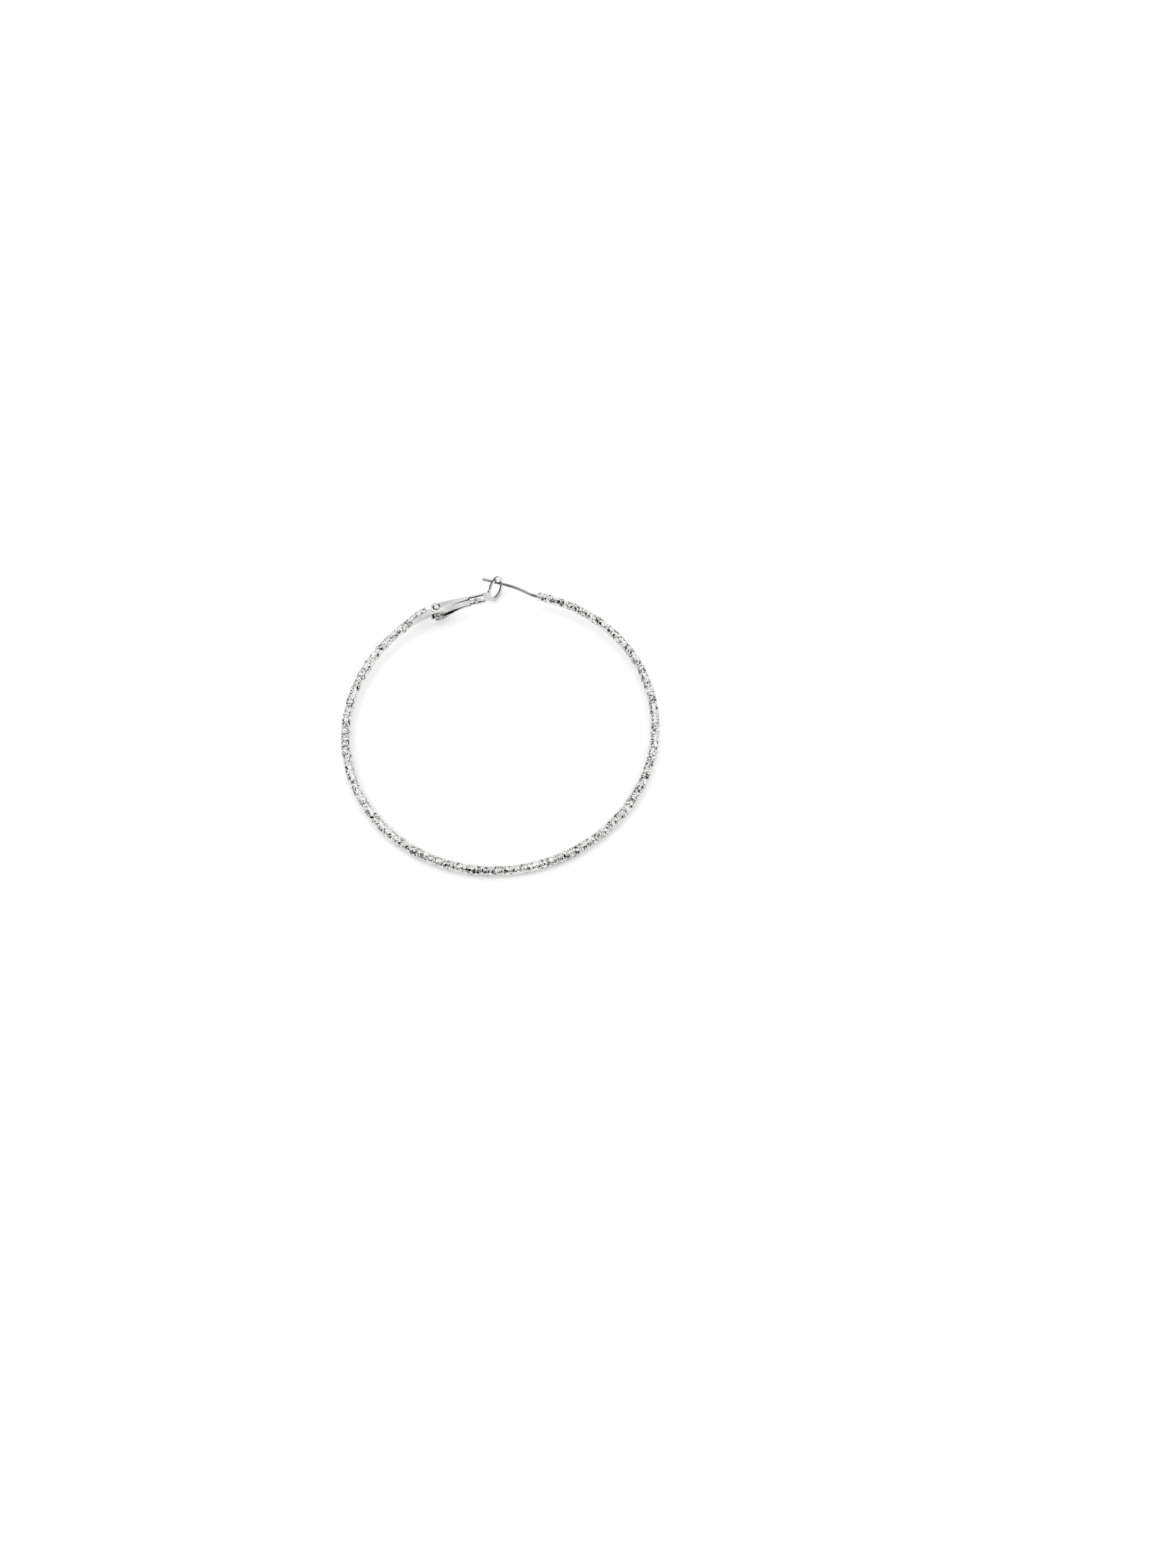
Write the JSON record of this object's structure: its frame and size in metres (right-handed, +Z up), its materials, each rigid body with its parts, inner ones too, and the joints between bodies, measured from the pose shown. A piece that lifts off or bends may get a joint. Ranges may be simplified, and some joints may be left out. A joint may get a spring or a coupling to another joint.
{
  "type": "hoop earring",
  "caption": "Thin hammered wire hoop earring with a hinged sheet-metal lever clasp, whose flat ring drops over a slender ear post.",
  "frame": {"origin": "middle of the earring's outline as seen from above, on the surface that it lies on", "axes": "+Z up from the surface, +Y from the middle of the hoop towards its clasp, +X along the clasp from the hinge to the ear post"},
  "size_m": [0.0702, 0.0738, 0.0061],
  "materials": {
    "hammered_steel": "hammered all over and polished",
    "post_steel": "drawn wire, polished",
    "bracket_steel": "stamped, tumbled",
    "lever_steel": "pressed sheet, polished",
    "rivet_steel": "domed and polished"
  },
  "bodies": {
    "earring": {"hoop": "hammered_steel", "ear_post": "post_steel", "hinge_bracket": "bracket_steel", "hinge_rivet_upper": "rivet_steel", "hinge_rivet_lower": "rivet_steel"},
    "lever": {"clasp_lever": "lever_steel"}
  },
  "joints": [
    {"name": "clasp_hinge", "type": "hinge", "parent": "earring", "child": "lever", "pos_m": [-0.01066, 0.02907, 0.00338], "axis": [-0.0154, 0.1067, 0.9942], "range_deg": [0, 90]}
  ]
}
